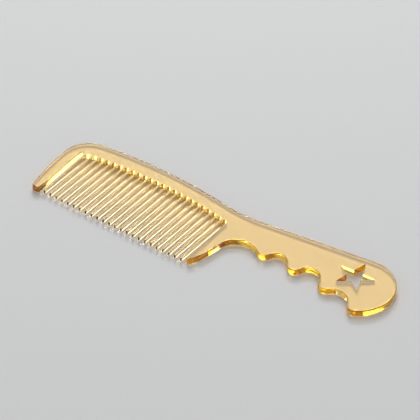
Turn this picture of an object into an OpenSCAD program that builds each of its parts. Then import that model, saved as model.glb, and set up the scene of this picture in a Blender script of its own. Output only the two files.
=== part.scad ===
// Wide tooth comb with a finger grip and a star-shaped hanging hole.
// The comb lies flat. +X runs from the front end tooth to the round end of the
// grip, +Y from the tooth tips to the back, +Z up through the thickness.
// The origin is the middle of the underside.
//
// The comb is one moulding. Each node is one region of it, and neighbouring
// regions share their cut faces exactly, with no gap or overlap.

/* [Body] */
// Thickness of the back, the two end teeth and the grip
body_t = 3.6; // [2.8:0.1:5]
// Height of the back above the roots of the teeth, at the crown
back_h = 8.8; // [7:0.1:11]
// Radius of the crowned back
back_r = 260; // [220:5:320]

/* [Teeth] */
// Number of teeth between the two end teeth
tooth_count = 24; // [18:1:28]
// Clear width between the inner faces of the two end teeth
field_w = 88.5; // [84:0.5:93]
// Clear gap between neighbouring teeth at their roots
gap_w = 2.35; // [1.6:0.05:2.5]
// Width of a tooth at its tip
tooth_tip_w = 1.1; // [0.6:0.05:1.2]
// Thickness of a tooth at its tip
tooth_tip_t = 1.9; // [1.2:0.1:2.8]
// Length of the straight run of each tooth before its thickness tapers
tooth_plain_l = 6; // [3:0.5:12]
// Length of the longest tooth, at the crown
tooth_l = 37.4; // [30:0.1:42]
// How far the tips of the inner teeth stop short of the front end tooth
tip_set = 0.5; // [0.3:0.1:2]
// Radius of the rounds in the corners of each gap's closed end, at most half the gap
gap_round = 1.1; // [0.2:0.05:1.1]

/* [End teeth] */
// Width of the front end tooth at its widest, up by the back
front_w = 6.75; // [5.5:0.25:8]
// Lean of the rear end tooth's outer edge from square
rear_lean = 9.5; // [7:0.5:12]

/* [Grip] */
// Distance from the rear end tooth's inner face to the centre of the round end
grip_l = 76; // [74:0.5:82]
// Radius of the round end
end_r = 18.6; // [17.5:0.1:19.5]
// Rise of the grip's straight back edge along the comb, in degrees
grip_rise = 8.3; // [7:0.1:9.5]
// Radius of the first hollow, for the index finger
hollow1_r = 10.9; // [9:0.1:12]
// Radius of the second hollow
hollow2_r = 5.7; // [5.2:0.1:6.2]
// Radius of the third hollow
hollow3_r = 6.2; // [5.6:0.1:6.8]
// Radius of the fourth hollow
hollow4_r = 8; // [7.2:0.1:9]

/* [Hanging hole] */
// Distance from the star's centre to its points
star_r = 10; // [7:0.25:10.5]
// Distance from the star's centre to its inner corners
star_in_r = 4; // [3:0.1:5]
// Turn of the star, in degrees
star_turn = 22; // [0:1:71]

/* [Hidden] */
$fa = 0.5;
$fs = 0.4;
amber = [0.93, 0.70, 0.28, 0.6];

// ---- Layout, in drawing coordinates with the end tooth tips near y = 0 ----

// Inner faces of the front and rear end teeth
front_x = 1.5;
rear_x = front_x + field_w;
// Cut face between the grip and the rest of the comb
neck_x = rear_x + 14;

pitch = (field_w - gap_w) / tooth_count;
tooth_w = pitch - gap_w;

// The roots of the teeth follow a shallow arc under the back
root_r = 250;
root_x = front_x + 46.5;
root_top = tip_set + tooth_l;
function root_y(x) = root_top - root_r + sqrt(root_r * root_r - (x - root_x) * (x - root_x));

// Front face and closed end of gap i; centre line and root of tooth i
function gap_x(i) = front_x + i * pitch;
function gap_end(i) = root_y(gap_x(i) + gap_w / 2);
function tooth_x(i) = front_x + gap_w + tooth_w / 2 + i * pitch;
function tooth_end(i) = root_y(tooth_x(i));
first_end = gap_end(0);
last_end = gap_end(tooth_count);

// Rounds at the closed end of each gap, and how far they lap into the back
gap_flat = 0.1;
corner_r = min(gap_round, (gap_w - gap_flat) / 2);
corner_lap = 0.5;

// Limits of the cutting shapes, clear of the outline
clip_front = front_x - 20;
clip_rear = neck_x + 150;
clip_low = -5;
clip_high = 90;

// ---- Geometry of tangent circles; a circle is [centre, radius] ----

function unit(v) = v / norm(v);

// Point at dist_a from a and dist_b from b, on the right of a->b
function meet(a, dist_a, b, dist_b) =
    let (
        span = norm(b - a),
        along = (b - a) / span,
        foot = (dist_a * dist_a - dist_b * dist_b + span * span) / (2 * span),
        offset = sqrt(max(0, dist_a * dist_a - foot * foot))
    )
    a + foot * along + offset * [along[1], -along[0]];

// Point of the line through start along dir (a unit vector) at distance dist from centre:
// the further one along dir for side 1, the nearer for side -1
function on_line(start, dir, centre, dist, side) =
    let (
        to_centre = centre - start,
        foot = to_centre * dir,
        reach = sqrt(max(0, dist * dist - (to_centre * to_centre - foot * foot)))
    )
    start + (foot + side * reach) * dir;

// Contact of circle a with circle b, which lies outside a or inside it
function touch(a, b) = a[0] + a[1] * unit(b[0] - a[0]);

// Circle of radius r that touches circles a and b from outside, on the right of a->b
function hollow_between(a, b, r) = [meet(a[0], a[1] + r, b[0], b[1] + r), r];

// Points along a circle from one point to another, but without the last, within
// arc_tol of the true circle: clockwise for a bulge, anticlockwise for a hollow
arc_tol = 0.01;
bulge = 1;
hollow = -1;
function heading(centre, p) = atan2(p[1] - centre[1], p[0] - centre[0]);
function arc(circ, from, to, side) =
    let (
        centre = circ[0],
        r = circ[1],
        start = heading(centre, from),
        sweep = (side * (start - heading(centre, to)) + 720) % 360,
        steps = max(2, ceil(sweep * PI / 180 * r / sqrt(8 * r * arc_tol)))
    )
    [for (i = [0:steps - 1])
        let (angle = start - side * sweep * i / steps)
        centre + r * [cos(angle), sin(angle)]];

// ---- Circles of the outline, each tangent to the next ----

crown = [[front_x + 43.5, root_top + back_h - back_r], back_r];

// Bowed outer edge of the front end tooth
bow_r = 130;
bow = [[front_x - front_w + bow_r, 27], bow_r];

// Shoulder between the bow and the crown
shoulder_r = 14.2;
shoulder = [meet(bow[0], bow_r - shoulder_r, crown[0], back_r - shoulder_r), shoulder_r];

// Outer and inner corner rounds of the front end tooth's tip
nip_r = 0.7;
outer_nip = [on_line([0, nip_r], [-1, 0], bow[0], bow_r - nip_r, 1), nip_r];
inner_nip = [[front_x - nip_r, nip_r], nip_r];

// Round end of the grip, and the direction of the straight edge that meets it
round_end = [[rear_x + grip_l, 34.5], end_r];
rise_dir = [cos(grip_rise), sin(grip_rise)];
rise_normal = [-sin(grip_rise), cos(grip_rise)];
end_top = round_end[0] + end_r * rise_normal;

// Saddle that joins the crowned back to the straight edge of the grip
saddle_r = 80;
saddle = [
    on_line(end_top + saddle_r * rise_normal, rise_dir, crown[0], back_r + saddle_r, 1),
    saddle_r
];
saddle_end = saddle[0] - saddle_r * rise_normal;

// Humps of the grip, front to rear; the last sits inside the round end
last_hump_r = 3.5;
last_hump_angle = -61.5;
humps = [
    [[rear_x + 26.7, 28.0], 3.6],
    [[rear_x + 44.2, 28.1], 3.8],
    [[rear_x + 63.7, 26.3], 4.0],
    [round_end[0] + (end_r - last_hump_r) * [cos(last_hump_angle), sin(last_hump_angle)],
        last_hump_r]
];

// Outer edge of the rear end tooth: straight by the grip, bowed towards the tip
lean_dir = [sin(rear_lean), cos(rear_lean)];
lean_normal = [cos(rear_lean), -sin(rear_lean)];
lean_low = [rear_x + 5.9, 14];
toe_r = 32;
toe = [lean_low - toe_r * lean_normal, toe_r];
toe_nip_r = 0.5;
toe_nip = [on_line([rear_x + toe_nip_r, 10], [0, -1], toe[0], toe_r - toe_nip_r, 1), toe_nip_r];

// Finger hollows, front to rear: hollows[i] is just in front of humps[i]
hollows = [
    [on_line(lean_low + hollow1_r * lean_normal, lean_dir,
        humps[0][0], humps[0][1] + hollow1_r, -1), hollow1_r],
    hollow_between(humps[0], humps[1], hollow2_r),
    hollow_between(humps[1], humps[2], hollow3_r),
    hollow_between(humps[2], humps[3], hollow4_r)
];
lean_high = hollows[0][0] - hollow1_r * lean_normal;

// Centre of the star, up and forward from the centre of the round end
star_points = 5;
star_at = round_end[0] + [-4.5, 4.3];

// ---- Plan shapes ----

// Whole outline, clockwise from the front tip, with the gaps filled in above fill_y
fill_y = 20;
module outline() {
    nip_bow = touch(bow, outer_nip);
    bow_shoulder = touch(bow, shoulder);
    shoulder_crown = touch(crown, shoulder);
    crown_saddle = touch(crown, saddle);
    end_hump = touch(round_end, humps[3]);
    toe_tip = touch(toe, toe_nip);
    polygon(concat(
        arc(outer_nip, [outer_nip[0][0], 0], nip_bow, bulge),
        arc(bow, nip_bow, bow_shoulder, bulge),
        arc(shoulder, bow_shoulder, shoulder_crown, bulge),
        arc(crown, shoulder_crown, crown_saddle, bulge),
        arc(saddle, crown_saddle, saddle_end, hollow),
        [saddle_end],
        arc(round_end, end_top, end_hump, bulge),
        arc(humps[3], end_hump, touch(humps[3], hollows[3]), bulge),
        [for (i = [2:-1:0])
            let (
                hollow_start = touch(humps[i + 1], hollows[i + 1]),
                hump_start = touch(humps[i], hollows[i + 1]),
                hump_end = touch(humps[i], hollows[i])
            )
            each concat(
                arc(hollows[i + 1], hollow_start, hump_start, hollow),
                arc(humps[i], hump_start, hump_end, bulge))],
        arc(hollows[0], touch(humps[0], hollows[0]), lean_high, hollow),
        [lean_high],
        arc(toe, lean_low, toe_tip, bulge),
        arc(toe_nip, toe_tip, [rear_x, toe_nip[0][1]], bulge),
        [[rear_x, toe_nip[0][1]], [rear_x, fill_y], [front_x, fill_y]],
        arc(inner_nip, [front_x, nip_r], [front_x - nip_r, 0], bulge),
        [[front_x - nip_r, 0]]
    ));
}

// Rectangle that keeps the part of the outline between two x and below high_y
module strip(low_x, high_x, high_y = clip_high) {
    translate([low_x, clip_low]) square([high_x - low_x, high_y - clip_low]);
}

// Everything below the back: a stepped edge, one flat per gap and one per tooth
module below_back() {
    polygon(concat(
        [[clip_front, clip_low], [clip_front, first_end]],
        [for (i = [0:tooth_count]) each [
            [gap_x(i), gap_end(i)],
            [gap_x(i) + gap_w, gap_end(i)],
            if (i < tooth_count) [gap_x(i) + gap_w, tooth_end(i)],
            if (i < tooth_count) [gap_x(i + 1), tooth_end(i)]
        ]],
        [[neck_x, last_end], [neck_x, clip_low]]
    ));
}

// Fillets in the front and rear corners at the closed end of gap i
module gap_corners(i) {
    y = gap_end(i);
    for (side = [bulge, hollow]) {
        wall_x = side == bulge ? gap_x(i) : gap_x(i) + gap_w;
        inner_x = wall_x + side * corner_r;
        round_circle = [[inner_x, y - corner_r], corner_r];
        polygon(concat(
            [[wall_x, y + corner_lap]],
            arc(round_circle, [wall_x, y - corner_r], [inner_x, y], side),
            [[inner_x, y], [inner_x, y + corner_lap]]
        ));
    }
}

// Tooth i seen from above: tapers in width to a round tip
module tooth_plan(i) {
    tip_r = tooth_tip_w / 2;
    tip_y = tip_set + tip_r;
    root = tooth_end(i);
    translate([tooth_x(i), 0]) {
        polygon([[-tooth_w / 2, root], [-tip_r, tip_y], [tip_r, tip_y], [tooth_w / 2, root]]);
        translate([0, tip_y]) circle(tip_r);
    }
}

module star() {
    step = 360 / star_points;
    polygon([for (i = [0:star_points - 1]) each [
        star_r * [cos(step * i), sin(step * i)],
        star_in_r * [cos(step * (i + 0.5)), sin(step * (i + 0.5))]
    ]]);
}

// ---- Solids ----

// Tooth i seen from the side: full thickness at the root, thinner to the tip
taper_end_y = -0.5;
module tooth_side(i) {
    root = tooth_end(i);
    taper_y = root - tooth_plain_l;
    middle = body_t / 2;
    translate([tooth_x(i) - tooth_w, 0, 0]) rotate([90, 0, 90]) linear_extrude(2 * tooth_w)
        polygon([
            [root, 0], [root, body_t], [taper_y, body_t],
            [taper_end_y, middle + tooth_tip_t / 2],
            [taper_end_y, middle - tooth_tip_t / 2],
            [taper_y, 0]
        ]);
}

// Moves the middle of the comb to the origin
module place() {
    end_centre = round_end[0];
    translate([
        -(front_x - front_w + end_centre[0] + end_r) / 2,
        -(end_centre[1] + end_r) / 2,
        0
    ]) children();
}

module back() {
    color(amber) place() {
        linear_extrude(body_t) intersection() {
            difference() {
                outline();
                below_back();
            }
            strip(clip_front, neck_x);
        }
        for (i = [0:tooth_count]) linear_extrude(body_t) gap_corners(i);
    }
}

module front_end_tooth() {
    color(amber) place() linear_extrude(body_t) intersection() {
        outline();
        strip(clip_front, front_x, first_end);
    }
}

module inner_teeth() {
    color(amber) place() for (i = [0:tooth_count - 1]) intersection() {
        linear_extrude(body_t) tooth_plan(i);
        tooth_side(i);
    }
}

module rear_end_tooth() {
    color(amber) place() linear_extrude(body_t) intersection() {
        outline();
        strip(rear_x, neck_x, last_end);
    }
}

module grip() {
    color(amber) place() linear_extrude(body_t) difference() {
        intersection() {
            outline();
            strip(neck_x, clip_rear);
        }
        translate(star_at) rotate(star_turn) star();
    }
}

back();
front_end_tooth();
inner_teeth();
rear_end_tooth();
grip();
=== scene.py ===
"""A hair comb with a long grip, moulded in one piece of clear amber plastic.

It lies flat on the floor: x runs along the back, the teeth point to -y, and the
thickness rises from z = 0. Left is -x. The row of teeth is at the left and the grip,
with wavy lower edge and a star-shaped hole, at the right. Comb sizes are in mm in a
drawing frame whose y = 0 is the line of the end teeth's tips; the mesh is centred
and turned to metres at the end. The floor, lights and camera are in metres.
"""
import math
from collections import namedtuple

import bpy
import numpy as np
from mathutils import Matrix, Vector
from mathutils.geometry import delaunay_2d_cdt


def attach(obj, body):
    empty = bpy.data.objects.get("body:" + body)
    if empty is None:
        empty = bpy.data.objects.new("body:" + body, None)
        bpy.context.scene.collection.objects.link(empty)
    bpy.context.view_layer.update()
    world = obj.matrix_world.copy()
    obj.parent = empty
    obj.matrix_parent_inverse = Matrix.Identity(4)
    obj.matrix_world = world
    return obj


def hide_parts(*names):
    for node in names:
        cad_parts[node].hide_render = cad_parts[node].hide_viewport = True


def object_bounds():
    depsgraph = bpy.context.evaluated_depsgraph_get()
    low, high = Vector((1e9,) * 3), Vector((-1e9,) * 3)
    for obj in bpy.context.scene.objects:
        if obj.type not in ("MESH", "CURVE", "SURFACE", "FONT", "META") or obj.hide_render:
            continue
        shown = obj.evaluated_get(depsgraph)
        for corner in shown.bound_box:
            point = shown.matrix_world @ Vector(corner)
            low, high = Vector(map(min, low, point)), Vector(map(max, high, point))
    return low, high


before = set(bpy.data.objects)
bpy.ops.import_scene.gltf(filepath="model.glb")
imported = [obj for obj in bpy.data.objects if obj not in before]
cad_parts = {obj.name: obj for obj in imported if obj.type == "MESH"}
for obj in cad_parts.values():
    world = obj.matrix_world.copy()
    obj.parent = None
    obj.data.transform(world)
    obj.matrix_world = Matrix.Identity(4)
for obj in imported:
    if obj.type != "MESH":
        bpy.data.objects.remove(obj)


def corners(pair):
    return [[float(c) for c in v] for v in pair]


size_before = corners(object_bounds())

# A circle of the outline. bulge is OUT where the material is inside it, IN for a hollow.
Round = namedtuple("Round", "centre radius bulge")
OUT, IN = 1, -1


def v2(x, y):
    return np.array([x, y], float)


# ---------------------------------------------------------------- sizes, mm
THICKNESS = 3.6

# The row of inner teeth, between the inner faces of the two end teeth
FIELD_LEFT, FIELD_WIDTH = 1.5, 88.5
FIELD_RIGHT = FIELD_LEFT + FIELD_WIDTH
TEETH = 24
GAP = 2.35
PITCH = (FIELD_WIDTH - GAP) / TEETH
TOOTH_WIDTH = PITCH - GAP
TIP_WIDTH, TIP_THICKNESS = 1.1, 1.9
TIP_Y, TOOTH_LENGTH = 0.5, 37.4
GAP_ROUND = 1.1  # the gaps end in a nearly full round
PLAIN_LENGTH = 6.0  # full thickness this far below the roots
THIN_END_Y = -0.5  # height where the taper would reach the tip thickness

# The arch on which the gaps end
ROOT_TOP = TIP_Y + TOOTH_LENGTH
ROOT_RADIUS, ROOT_X = 250.0, FIELD_LEFT + 46.5

# Body
LEFT_X = FIELD_LEFT - 6.75
BACK_HEIGHT = 8.8  # from the roots to the top of the back
BACK_RADIUS, BACK_X = 260.0, FIELD_LEFT + 43.5
BOW_RADIUS, BOW_Y = 130.0, 27  # left side
SHOULDER_RADIUS = 14.2
NIP_RADIUS = 0.7  # tip corners of the left end tooth
SADDLE_RADIUS = 80.0  # hollow between the back and the grip
RISE = 8.3  # slope of the grip's straight top, degrees

# Right end tooth
LEAN = math.radians(9.5)  # its straight right side, from upright
LEAN_FOOT = v2(FIELD_RIGHT + 5.9, 14)
TOE_RADIUS, TOE_TIP_RADIUS = 32.0, 0.5

# Grip: its end, then the lobes of its lower edge and the hollows left of each
GRIP_END = Round(v2(FIELD_RIGHT + 76, 34.5), 18.6, OUT)
LOBES = [
    Round(v2(FIELD_RIGHT + 26.7, 28.0), 3.6, OUT),
    Round(v2(FIELD_RIGHT + 44.2, 28.1), 3.8, OUT),
    Round(v2(FIELD_RIGHT + 63.7, 26.3), 4.0, OUT),
]
LAST_LOBE_RADIUS, LAST_LOBE_ANGLE = 3.5, -61.5  # touches the grip end from inside
HOLLOW_RADII = [10.9, 5.7, 6.2, 8.0]

STAR_CENTRE = GRIP_END.centre + v2(-4.5, 4.3)
STAR_RADIUS, STAR_INNER_RADIUS, STAR_TURN = 10.0, 4.0, 22.0
STAR_TIP_ROUND, STAR_NOTCH_ROUND = 0.12, 0.4

MIDDLE = v2(
    (LEFT_X + GRIP_END.centre[0] + GRIP_END.radius) / 2,
    (GRIP_END.centre[1] + GRIP_END.radius) / 2,
)

# Rounded edges: radius round the body, and round the teeth, end tips and star
EDGE, EDGE_SMALL = 0.85, 0.12
EDGE_FADE = 9.0  # distance over which the small radius grows to the large one

# Mesh density
ARC_TOLERANCE, ARC_MAX_TURN = 0.0025, math.radians(12)
LINE_STEP, TOOTH_STEP = 3.0, 1.5
FILLET_STEPS, WALL_STEPS = 6, 6


# ---------------------------------------------------------------- plane geometry
def unit(v):
    return v / np.linalg.norm(v)


def left_of(v):
    return v2(-v[1], v[0])


def direction(degrees):
    return v2(math.cos(math.radians(degrees)), math.sin(math.radians(degrees)))


def between(a, b, radius, bulge):
    """Round touching rounds a and b, centred on the right of the way from a to b."""
    reach_a = a.radius - bulge * radius
    reach_b = b.radius - bulge * radius
    distance = np.linalg.norm(b.centre - a.centre)
    u = (b.centre - a.centre) / distance
    along = (reach_a**2 - reach_b**2 + distance**2) / (2 * distance)
    across = math.sqrt(max(0.0, reach_a**2 - along**2))
    return Round(a.centre + along * u - across * left_of(u), radius, bulge)


def on_line(start, u, centre, reach):
    """Last point along the line from start in direction u at distance reach from centre."""
    w = centre - start
    along = float(w @ u)
    half_chord = math.sqrt(max(0.0, reach * reach - (float(w @ w) - along * along)))
    return start + (along + half_chord) * u


def line(start, end, step=LINE_STEP):
    """Points from start towards end, without the end."""
    n = max(1, math.ceil(np.linalg.norm(end - start) / step))
    return [start + (end - start) * i / n for i in range(n)]


def arc(rnd, start, end):
    """Points along a round, without the end: clockwise if OUT, anticlockwise if IN."""
    centre, r, bulge = rnd
    a = math.atan2(start[1] - centre[1], start[0] - centre[0])
    b = math.atan2(end[1] - centre[1], end[0] - centre[0])
    sweep = (bulge * (a - b)) % (2 * math.pi)
    by_tolerance = math.ceil(sweep * r / math.sqrt(8 * r * ARC_TOLERANCE))
    n = max(2, by_tolerance, math.ceil(sweep / ARC_MAX_TURN))
    angles = [a - bulge * sweep * i / n for i in range(n)]
    return [centre + r * v2(math.cos(t), math.sin(t)) for t in angles]


def chain(start, rounds, end):
    """Points along rounds that each touch the next, without the end."""
    joints = [start]
    for pair in zip(rounds, rounds[1:]):
        other, host = sorted(pair, key=lambda r: (r.bulge, r.radius))
        joints.append(host.centre + host.radius * unit(other.centre - host.centre))
    joints.append(end)
    arcs = [arc(*step) for step in zip(rounds, joints, joints[1:])]
    return [p for points in arcs for p in points]


def corner(p, before, after, r):
    """Rounded corner at p between the lines to before and after, both ends included."""
    u, w = unit(before - p), unit(after - p)
    half = math.acos(max(-1, min(1, float(u @ w)))) / 2
    reach = r / math.tan(half)
    centre = p + unit(u + w) * r / math.sin(half)
    start, end = p + reach * u, p + reach * w
    bulge = OUT if (u[0] * w[1] - u[1] * w[0]) > 0 else IN
    return arc(Round(centre, r, bulge), start, end) + [end]


def tidy(points, smallest=1e-4):
    """The closed loop without repeated points."""
    out = [points[0]]
    for p in points[1:]:
        if np.linalg.norm(p - out[-1]) > smallest:
            out.append(p)
    if np.linalg.norm(out[0] - out[-1]) <= smallest:
        out.pop()
    return np.array(out)


# ---------------------------------------------------------------- contours
def root_y(x):
    return ROOT_TOP - ROOT_RADIUS + np.sqrt(ROOT_RADIUS**2 - (x - ROOT_X) ** 2)


def teeth_outline(here):
    """From here, on the right end tooth's inner face, leftwards round every gap and tooth."""
    points = []
    down = v2(0, -1)
    r = TIP_WIDTH / 2
    for i in range(TEETH, -1, -1):
        gap_x = FIELD_LEFT + i * PITCH
        top = root_y(gap_x + GAP / 2)
        right, left = v2(gap_x + GAP, top), v2(gap_x, top)
        gap_end = corner(right, right + down, left, GAP_ROUND)
        gap_end += corner(left, right, left + down, GAP_ROUND)
        points += line(here, gap_end[0], TOOTH_STEP) + gap_end
        if i > 0:
            x = FIELD_LEFT + GAP + TOOTH_WIDTH / 2 + (i - 1) * PITCH
            y = TIP_Y + r
            tip_right, here = v2(x + r, y), v2(x - r, y)
            points += line(gap_end[-1], tip_right, TOOTH_STEP)[1:]
            points += arc(Round(v2(x, y), r, OUT), tip_right, here)
    face_foot = v2(FIELD_LEFT, NIP_RADIUS)
    return points + line(points[-1], face_foot, TOOTH_STEP)[1:]


def comb_outline():
    """The whole outer contour, drawn clockwise from the left end tooth's tip and then
    reversed, so that the material is on its left."""
    # left side, back and saddle
    bow = Round(v2(LEFT_X + BOW_RADIUS, BOW_Y), BOW_RADIUS, OUT)
    back = Round(v2(BACK_X, ROOT_TOP + BACK_HEIGHT - BACK_RADIUS), BACK_RADIUS, OUT)
    shoulder = between(bow, back, SHOULDER_RADIUS, OUT)
    nip_centre = on_line(v2(0, NIP_RADIUS), v2(-1, 0), bow.centre, BOW_RADIUS - NIP_RADIUS)
    nip = Round(nip_centre, NIP_RADIUS, OUT)
    rise = direction(RISE)
    rise_normal = left_of(rise)
    grip_top = GRIP_END.centre + GRIP_END.radius * rise_normal
    saddle_centre = on_line(
        grip_top + SADDLE_RADIUS * rise_normal, rise, back.centre, BACK_RADIUS + SADDLE_RADIUS)
    saddle = Round(saddle_centre, SADDLE_RADIUS, IN)
    saddle_end = saddle.centre - SADDLE_RADIUS * rise_normal

    # right end tooth
    lean_up = v2(math.sin(LEAN), math.cos(LEAN))
    lean_right = -left_of(lean_up)
    toe = Round(LEAN_FOOT - TOE_RADIUS * lean_right, TOE_RADIUS, OUT)
    toe_tip_centre = on_line(
        v2(FIELD_RIGHT + TOE_TIP_RADIUS, 10), v2(0, -1), toe.centre, TOE_RADIUS - TOE_TIP_RADIUS)
    toe_tip = Round(toe_tip_centre, TOE_TIP_RADIUS, OUT)
    toe_end = v2(FIELD_RIGHT, toe_tip.centre[1])

    # wavy lower edge of the grip
    last_centre = (
        GRIP_END.centre + (GRIP_END.radius - LAST_LOBE_RADIUS) * direction(LAST_LOBE_ANGLE))
    lobes = LOBES + [Round(last_centre, LAST_LOBE_RADIUS, OUT)]
    first_radius = HOLLOW_RADII[0]
    first_centre = on_line(
        LEAN_FOOT + first_radius * lean_right, -lean_up,
        lobes[0].centre, lobes[0].radius + first_radius)
    hollows = [Round(first_centre, first_radius, IN)]
    for a, b, radius in zip(lobes, lobes[1:], HOLLOW_RADII[1:]):
        hollows.append(between(a, b, radius, IN))
    waves = [rnd for pair in zip(lobes[::-1], hollows[::-1]) for rnd in pair]
    lean_top = first_centre - first_radius * lean_right

    # flat tip of the left end tooth
    tip_left = v2(nip.centre[0], 0)
    inner_nip = Round(v2(FIELD_LEFT - NIP_RADIUS, NIP_RADIUS), NIP_RADIUS, OUT)
    tip_right = v2(inner_nip.centre[0], 0)

    points = chain(tip_left, [nip, bow, shoulder, back, saddle], saddle_end)
    points += line(saddle_end, grip_top)
    points += chain(grip_top, [GRIP_END] + waves, lean_top)
    points += line(lean_top, LEAN_FOOT)
    points += chain(LEAN_FOOT, [toe, toe_tip], toe_end)
    points += teeth_outline(toe_end)
    points += arc(inner_nip, v2(FIELD_LEFT, NIP_RADIUS), tip_right)
    points += line(tip_right, tip_left)
    return tidy(points)[::-1]


def star_outline():
    """The star-shaped hole, clockwise, so that the material is on its left."""
    points = [
        STAR_CENTRE + (STAR_INNER_RADIUS if k % 2 else STAR_RADIUS) * direction(36 * k + STAR_TURN)
        for k in range(9, -1, -1)
    ]
    # the list starts at a notch, so the tips have odd places
    rounds = [
        corner(points[k], points[k - 1], points[(k + 1) % 10],
               STAR_TIP_ROUND if k % 2 else STAR_NOTCH_ROUND)
        for k in range(10)
    ]
    star = []
    for this, following in zip(rounds, rounds[1:] + rounds[:1]):
        star += this + line(this[-1], following[0])[1:]
    return tidy(star)


# ---------------------------------------------------------------- mesh
def mitres(loop):
    """Vectors out of the material that move both edges at each point by one unit."""
    a = loop - np.roll(loop, 1, 0)
    b = np.roll(loop, -1, 0) - loop
    a /= np.linalg.norm(a, axis=1)[:, None]
    b /= np.linalg.norm(b, axis=1)[:, None]
    normal_a = np.c_[a[:, 1], -a[:, 0]]
    middle = normal_a + np.c_[b[:, 1], -b[:, 0]]
    middle /= np.linalg.norm(middle, axis=1)[:, None]
    return middle / np.maximum(0.5, np.sum(middle * normal_a, 1))[:, None]


def edge_radius(loop):
    """Radius of the rounded edge at each contour point."""
    x, y = loop[:, 0], loop[:, 1]
    small = (x > FIELD_LEFT - 0.6) & (x < FIELD_RIGHT + 0.6) & (y < ROOT_TOP + 1.5)
    small |= (y < 5) & (x < FIELD_RIGHT + 4)  # pointed tips of the end teeth
    small |= np.linalg.norm(loop - STAR_CENTRE, axis=1) < STAR_RADIUS + 1
    radius = np.full(len(loop), EDGE_SMALL)
    for i in np.nonzero(~small)[0]:
        distance = np.linalg.norm(loop[small] - loop[i], axis=1).min()
        u = min(1.0, distance / EDGE_FADE)
        radius[i] = EDGE_SMALL + (EDGE - EDGE_SMALL) * u * u * (3 - 2 * u)
    return radius


def thickness_share(x, y):
    """Share of the full thickness: the inner teeth get thinner to their tips."""
    inner = (x > FIELD_LEFT + GAP / 2) & (x < FIELD_RIGHT - GAP / 2)
    start = root_y(x) - PLAIN_LENGTH
    t = np.clip((start - y) / (start - THIN_END_Y), 0, 1)
    return np.where(inner, 1 - (1 - TIP_THICKNESS / THICKNESS) * t, 1.0)


def wall(loop):
    """Rows of points up the wall with its two rounded edges, and their normals."""
    turn = [math.pi / 2 * j / FILLET_STEPS for j in range(FILLET_STEPS + 1)]
    # share of the straight wall, then lift and inset in edge radii
    rows = [(0, 1 - math.cos(a), 1 - math.sin(a)) for a in turn]
    rows += [(j / WALL_STEPS, 1.0, 0.0) for j in range(1, WALL_STEPS)]
    rows += [(1, math.sin(a) + 1, 1 - math.cos(a)) for a in turn]
    out = mitres(loop)
    radius = edge_radius(loop)
    grid = np.array([
        np.c_[loop - out * (inset * radius)[:, None],
              share * (THICKNESS - 2 * radius) + lift * radius]
        for share, lift, inset in rows
    ])
    around = np.roll(grid, -1, 1) - np.roll(grid, 1, 1)
    upward = np.empty_like(grid)
    upward[1:-1] = grid[2:] - grid[:-2]
    upward[0] = grid[1] - grid[0]
    upward[-1] = grid[-1] - grid[-2]
    normals = np.cross(around, upward)
    normals /= np.linalg.norm(normals, axis=2)[..., None]
    normals[0] = (0, 0, -1)
    normals[-1] = (0, 0, 1)
    return grid, normals


def inside_loops(points, loops):
    """Even-odd test of points against closed loops."""
    x, y = points.T
    inside = np.zeros(len(points), bool)
    for loop in loops:
        for (ax, ay), (bx, by) in zip(loop, np.roll(loop, -1, 0)):
            if ay != by:
                edge_x = ax + (y - ay) * (bx - ax) / (by - ay)
                inside ^= ((ay > y) != (by > y)) & (x < edge_x)
    return inside


def add_cap(verts, normals, faces, rims, up):
    """Triangulate the flat face within the rims, ranges of vertex numbers."""
    ids, edges = [], []
    for rim in rims:
        base, n = len(ids), len(rim)
        ids += rim
        edges += [(base + i, base + (i + 1) % n) for i in range(n)]
    flat = [Vector(verts[i][:2]) for i in ids]
    points, _, triangles, origins, _, _ = delaunay_2d_cdt(flat, edges, [], 0, 1e-6)
    numbers = []
    for point, origin in zip(points, origins):
        if origin:
            numbers.append(ids[origin[0]])
        else:  # a point added where edges cross
            numbers.append(len(verts))
            verts.append([point[0], point[1], THICKNESS if up else 0.0])
            normals.append([0, 0, 1 if up else -1])
    centres = np.array([tuple(p) for p in points])[np.array(triangles)].mean(axis=1)
    loops = [np.array([verts[i][:2] for i in rim]) for rim in rims]
    for triangle, keep in zip(triangles, inside_loops(centres, loops)):
        if keep:
            face = [numbers[i] for i in triangle]
            a, b, c = (np.array(verts[i][:2]) for i in face)
            anticlockwise = (b - a)[0] * (c - a)[1] - (b - a)[1] * (c - a)[0] > 0
            faces.append(tuple(face if anticlockwise == up else face[::-1]))


def add_object(name, data):
    ob = bpy.data.objects.new(name, data)
    bpy.context.scene.collection.objects.link(ob)
    return ob


def build_comb():
    verts, normals, faces = [], [], []
    bottom, top = [], []
    for loop in (comb_outline(), star_outline()):
        grid, grid_normals = wall(loop)
        row_count, n = grid.shape[:2]
        base = len(verts)
        verts += grid.reshape(-1, 3).tolist()
        normals += grid_normals.reshape(-1, 3).tolist()
        for row in range(row_count - 1):
            low = base + row * n
            high = low + n
            for i in range(n):
                j = (i + 1) % n
                faces.append((low + i, low + j, high + j, high + i))
        bottom.append(range(base, base + n))
        top.append(range(high, high + n))
    add_cap(verts, normals, faces, top, up=True)
    add_cap(verts, normals, faces, bottom, up=False)

    places = np.array(verts, float)
    share = thickness_share(places[:, 0], places[:, 1])
    places[:, 2] = THICKNESS / 2 + (places[:, 2] - THICKNESS / 2) * share
    places[:, :2] -= MIDDLE
    # stay within the bounds of the CAD pieces
    places = np.clip(places, np.array(size_before[0]) * 1000, np.array(size_before[1]) * 1000)
    mesh = bpy.data.meshes.new("comb")
    mesh.from_pydata((places / 1000).tolist(), [], faces)
    mesh.update()
    mesh.polygons.foreach_set("use_smooth", [True] * len(mesh.polygons))
    mesh.normals_split_custom_set_from_vertices(normals)
    return add_object("comb", mesh)


# ---------------------------------------------------------------- materials
def new_material(name):
    mat = bpy.data.materials.new(name)
    mat.use_nodes = True
    return mat, mat.node_tree


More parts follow.
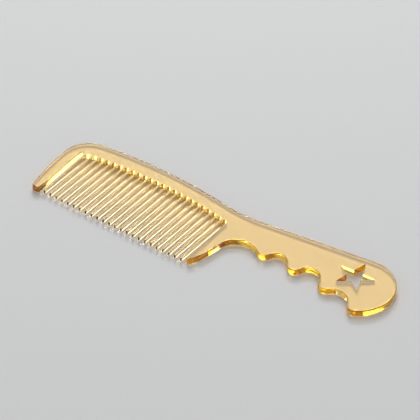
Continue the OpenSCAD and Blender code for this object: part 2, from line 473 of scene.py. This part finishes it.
def add_node(tree, kind, **values):
    """New shader node; underscores in the input names stand for spaces."""
    node = tree.nodes.new(kind)
    for key, value in values.items():
        node.inputs[key.replace("_", " ")].default_value = value
    return node


def amber_material():
    mat, tree = new_material("amber_plastic")
    tree.nodes.clear()
    link = tree.links.new
    output = add_node(tree, "ShaderNodeOutputMaterial")
    plastic = add_node(
        tree, "ShaderNodeBsdfPrincipled",
        Base_Color=(1, 0.845, 0.63, 1), Transmission_Weight=1.0, IOR=1.55)
    link(plastic.outputs[0], output.inputs["Surface"])

    # handling marks: hairlines along the comb and faint cloudy patches in the polish
    place = add_node(tree, "ShaderNodeTexCoord").outputs["Object"]
    along = add_node(
        tree, "ShaderNodeMapping", Scale=(60.0, 2600.0, 600.0), Rotation=(0.0, 0.0, 0.12))
    link(place, along.inputs["Vector"])
    hair = add_node(tree, "ShaderNodeTexNoise", Scale=1.0, Detail=3.0, Roughness=0.6)
    link(along.outputs[0], hair.inputs["Vector"])
    cloud = add_node(tree, "ShaderNodeTexNoise", Scale=70.0, Detail=2.0)
    link(place, cloud.inputs["Vector"])
    worn = add_node(tree, "ShaderNodeMath")
    worn.operation = "MULTIPLY"
    link(hair.outputs["Fac"], worn.inputs[0])
    link(cloud.outputs["Fac"], worn.inputs[1])
    polish = add_node(
        tree, "ShaderNodeMapRange", From_Min=0.15, From_Max=0.45, To_Min=0.02, To_Max=0.055)
    link(worn.outputs[0], polish.inputs["Value"])
    link(polish.outputs["Result"], plastic.inputs["Roughness"])

    # the slight sink and ripple of a moulded face, and a trace of the hairlines
    ripple = add_node(tree, "ShaderNodeTexNoise", Scale=110.0, Detail=1.5, Roughness=0.4)
    link(place, ripple.inputs["Vector"])
    low = add_node(tree, "ShaderNodeBump", Strength=0.3, Distance=0.0001)
    link(ripple.outputs["Fac"], low.inputs["Height"])
    fine = add_node(tree, "ShaderNodeBump", Strength=0.05, Distance=0.00001)
    link(hair.outputs["Fac"], fine.inputs["Height"])
    link(low.outputs[0], fine.inputs["Normal"])
    link(fine.outputs[0], plastic.inputs["Normal"])

    absorbed = (0.002, 0.0150, 0.102)  # red, green and blue, per mm
    density = 0.25  # per mm
    volume = add_node(
        tree, "ShaderNodeVolumeAbsorption",
        Color=(*(1 - a / density for a in absorbed), 1), Density=density * 1000)
    link(volume.outputs[0], output.inputs["Volume"])
    return mat


def paper_material():
    """Matt pale grey with a fine fibre."""
    mat, tree = new_material("floor")
    link = tree.links.new
    paper = tree.nodes["Principled BSDF"]
    paper.inputs["Roughness"].default_value = 0.7
    fibre = add_node(tree, "ShaderNodeTexNoise", Scale=900, Detail=4)
    shade = add_node(tree, "ShaderNodeMapRange")
    shade.data_type = "FLOAT_VECTOR"
    shade.inputs[9].default_value = (0.65, 0.655, 0.66)  # vector To Min
    shade.inputs[10].default_value = (0.675, 0.68, 0.685)  # vector To Max
    grain = add_node(tree, "ShaderNodeBump", Strength=0.1, Distance=0.00005)
    place = add_node(tree, "ShaderNodeTexCoord")
    link(place.outputs["Object"], fibre.inputs["Vector"])
    link(fibre.outputs["Fac"], shade.inputs["Vector"])
    link(shade.outputs["Vector"], paper.inputs["Base Color"])
    link(fibre.outputs["Fac"], grain.inputs["Height"])
    link(grain.outputs[0], paper.inputs["Normal"])
    return mat


# ---------------------------------------------------------------- floor, light, camera
LOOK_AT = Vector((-0.01376, 0.01275, 0.0))
LIGHT_SIDE = Vector((-0.595, 0.804, 0)).normalized()  # beyond the comb from the camera


def build_floor(half=3.0, z=-0.00003):
    mesh = bpy.data.meshes.new("floor")
    square = [(-half, -half, z), (half, -half, z), (half, half, z), (-half, half, z)]
    mesh.from_pydata(square, [], [(0, 1, 2, 3)])
    floor = add_object("floor", mesh)
    mesh.materials.append(paper_material())


def aim(ob, place):
    ob.location = place
    ob.rotation_euler = (LOOK_AT - ob.location).to_track_quat("-Z", "Y").to_euler()


def panel(name, elevation, width, height, radiance, distance=2.0):
    """Rectangular lamp on the light side, elevation in degrees."""
    light = bpy.data.lights.new(name, "AREA")
    light.shape = "RECTANGLE"
    light.size, light.size_y = width, height
    light.energy = radiance * math.pi * width * height
    ob = add_object(name, light)
    e = math.radians(elevation)
    aim(ob, LOOK_AT + distance * (LIGHT_SIDE * math.cos(e) + Vector((0, 0, math.sin(e)))))


def build_world():
    world = bpy.data.worlds.new("world")
    bpy.context.scene.world = world
    world.use_nodes = True
    background = world.node_tree.nodes["Background"]
    background.inputs["Color"].default_value = (1, 1, 1, 1)
    background.inputs["Strength"].default_value = 0.515


def build_camera():
    camera = bpy.data.cameras.new("camera")
    camera.sensor_width = 36
    half_width = 0.0530303030  # of the view, at distance 1
    camera.angle = 2 * math.atan(half_width)
    camera.clip_start = 0.1
    ob = add_object("camera", camera)
    aim(ob, (0.84242844, -1.14432091, 1.2601015758))
    bpy.context.scene.camera = ob


def set_render():
    scene = bpy.context.scene
    cycles = scene.cycles
    # many bounces, for light through the clear plastic
    cycles.max_bounces = 32
    cycles.transmission_bounces = 32
    cycles.transparent_max_bounces = 32
    cycles.glossy_bounces = 16
    cycles.diffuse_bounces = 4
    cycles.caustics_refractive = True
    cycles.caustics_reflective = True
    cycles.blur_glossy = 0.0
    cycles.use_denoising = True
    cycles.sample_clamp_indirect = 0
    cycles.use_guiding = True
    cycles.use_surface_guiding = True
    cycles.use_volume_guiding = False
    cycles.surface_guiding_probability = 0.7
    scene.view_settings.view_transform = "Standard"


comb = build_comb()
comb.data.materials.append(amber_material())
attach(comb, "root")
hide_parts("back", "front_end_tooth", "inner_teeth", "rear_end_tooth", "grip")

build_floor()
panel("key", elevation=32, width=0.45, height=0.36, radiance=20)
panel("glow", elevation=44, width=1.6, height=1.3, radiance=2.3)
build_world()
build_camera()
set_render()
